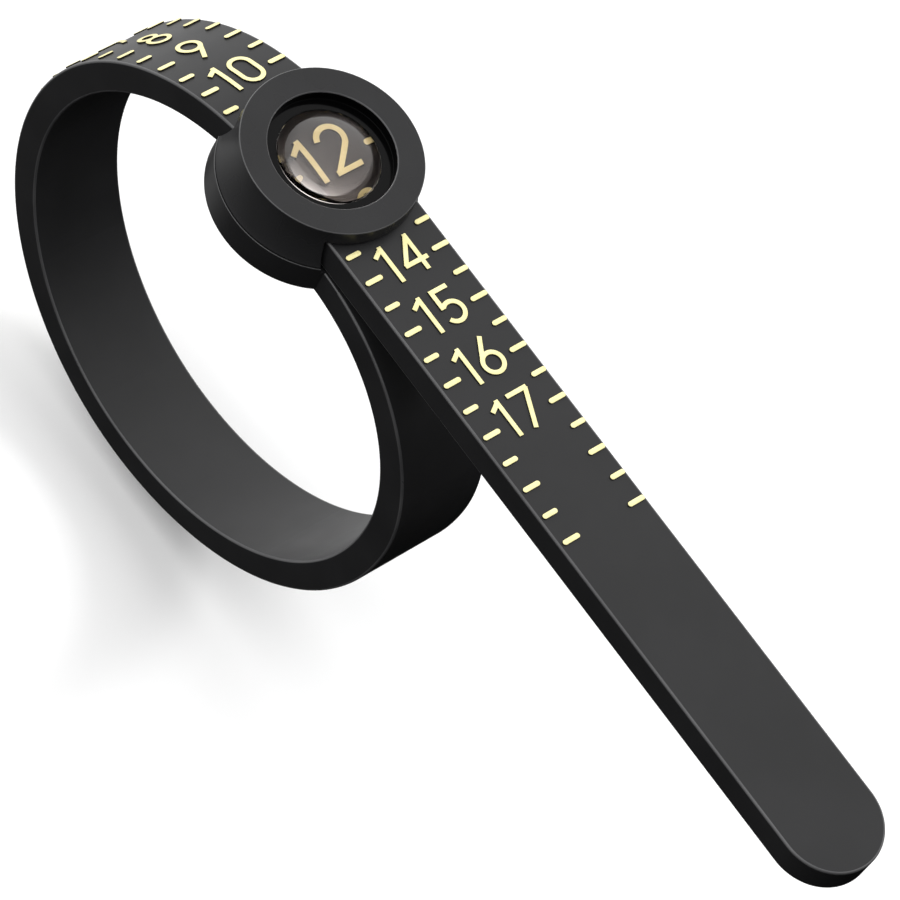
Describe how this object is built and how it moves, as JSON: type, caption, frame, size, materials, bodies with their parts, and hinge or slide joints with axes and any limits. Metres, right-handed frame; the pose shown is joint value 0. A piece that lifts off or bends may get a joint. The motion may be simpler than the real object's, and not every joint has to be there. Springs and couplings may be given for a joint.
{
  "type": "ring sizer stick",
  "caption": "Flat numbered strap looped back through a round head with a magnifying window; pulling the tail closes the loop on a finger and the window shows the ring size.",
  "frame": {"origin": "centre of the head's flat back face, which rests on the finger", "axes": "+X along the straight tail, +Y across the strap, +Z out of the head through the lens"},
  "size_m": [0.0468, 0.0084, 0.0249],
  "materials": {
    "strap": "satin black moulded plastic with a fine texture",
    "head": "satin black moulded plastic",
    "lens": "clear polished acrylic",
    "foil": "pale gold hot-stamped foil"
  },
  "bodies": {
    "head": {"base_disc": "head", "housing": "head", "lens": "lens"},
    "tail": {"strap_tail": "strap", "ticks_tail": "foil", "numeral_12": "foil", "numeral_13": "foil", "numeral_14": "foil", "numeral_15": "foil", "numeral_16": "foil", "numeral_17": "foil"},
    "link_01": {"strap_link_01": "strap", "ticks_link_01": "foil", "numeral_11": "foil"},
    "link_02": {"strap_link_02": "strap", "ticks_link_02": "foil", "numeral_10": "foil"},
    "link_03": {"strap_link_03": "strap", "ticks_link_03": "foil", "numeral_09": "foil", "numeral_08": "foil", "numeral_07": "foil"},
    "link_04": {"strap_link_04": "strap", "ticks_link_04": "foil", "numeral_06": "foil", "numeral_05": "foil", "numeral_04": "foil"},
    "link_05": {"strap_link_05": "strap", "ticks_link_05": "foil", "numeral_03": "foil", "numeral_02": "foil", "numeral_01": "foil"},
    "link_06": {"strap_link_06": "strap"},
    "link_07": {"strap_link_07": "strap"},
    "link_08": {"strap_link_08": "strap"},
    "link_09": {"strap_link_09": "strap"},
    "link_10": {"strap_link_10": "strap"},
    "link_11": {"strap_link_11": "strap"}
  },
  "joints": [
    {"name": "strap_slide", "type": "slide", "parent": "head", "child": "tail", "axis": [1, 0, 0], "range_m": [-0.00255, 0.00255]},
    {"name": "strap_flex_11", "type": "hinge", "parent": "head", "child": "link_11", "pos_m": [0.00444, 0, 0.00059], "axis": [0, 1, 0], "range_deg": [-0.476, 0.476]},
    {"name": "strap_flex_10", "type": "hinge", "parent": "link_11", "child": "link_10", "pos_m": [0.0096, 0, -0.00232], "axis": [0, 1, 0], "range_deg": [-0.22, 0.22]},
    {"name": "strap_flex_09", "type": "hinge", "parent": "link_10", "child": "link_09", "pos_m": [0.01154, 0, -0.00792], "axis": [0, 1, 0], "range_deg": [-0.97, 0.97]},
    {"name": "strap_flex_08", "type": "hinge", "parent": "link_09", "child": "link_08", "pos_m": [0.00996, 0, -0.01371], "axis": [0, 1, 0], "range_deg": [-1.7, 1.7]},
    {"name": "strap_flex_07", "type": "hinge", "parent": "link_08", "child": "link_07", "pos_m": [0.00581, 0, -0.01805], "axis": [0, 1, 0], "range_deg": [-2.01, 2.01]},
    {"name": "strap_flex_06", "type": "hinge", "parent": "link_07", "child": "link_06", "pos_m": [0.00011, 0, -0.01991], "axis": [0, 1, 0], "range_deg": [-1.76, 1.76]},
    {"name": "strap_flex_05", "type": "hinge", "parent": "link_06", "child": "link_05", "pos_m": [-0.00575, 0, -0.01868], "axis": [0, 1, 0], "range_deg": [-1.43, 1.43]},
    {"name": "strap_flex_04", "type": "hinge", "parent": "link_05", "child": "link_04", "pos_m": [-0.01071, 0, -0.01306], "axis": [0, 1, 0], "range_deg": [-1.23, 1.23]},
    {"name": "strap_flex_03", "type": "hinge", "parent": "link_04", "child": "link_03", "pos_m": [-0.0108, 0, -0.00555], "axis": [0, 1, 0], "range_deg": [-1.68, 1.68]},
    {"name": "strap_flex_02", "type": "hinge", "parent": "link_03", "child": "link_02", "pos_m": [-0.00618, 0, 0.00038], "axis": [0, 1, 0], "range_deg": [-2.42, 2.42]},
    {"name": "strap_flex_01", "type": "hinge", "parent": "link_02", "child": "link_01", "pos_m": [-0.0039, 0, 0.00152], "axis": [0, 1, 0], "range_deg": [-1.7, 1.7]}
  ],
  "couplings": [
    {"joint": "strap_flex_11", "follows": "strap_slide", "rad_per_m": -2.6},
    {"joint": "strap_flex_10", "follows": "strap_slide", "rad_per_m": 1.2},
    {"joint": "strap_flex_09", "follows": "strap_slide", "rad_per_m": 5.3},
    {"joint": "strap_flex_08", "follows": "strap_slide", "rad_per_m": 9.3},
    {"joint": "strap_flex_07", "follows": "strap_slide", "rad_per_m": 11},
    {"joint": "strap_flex_06", "follows": "strap_slide", "rad_per_m": 9.6},
    {"joint": "strap_flex_05", "follows": "strap_slide", "rad_per_m": 7.8},
    {"joint": "strap_flex_04", "follows": "strap_slide", "rad_per_m": 6.7},
    {"joint": "strap_flex_03", "follows": "strap_slide", "rad_per_m": 9.2},
    {"joint": "strap_flex_02", "follows": "strap_slide", "rad_per_m": 13.2},
    {"joint": "strap_flex_01", "follows": "strap_slide", "rad_per_m": 9.3}
  ]
}
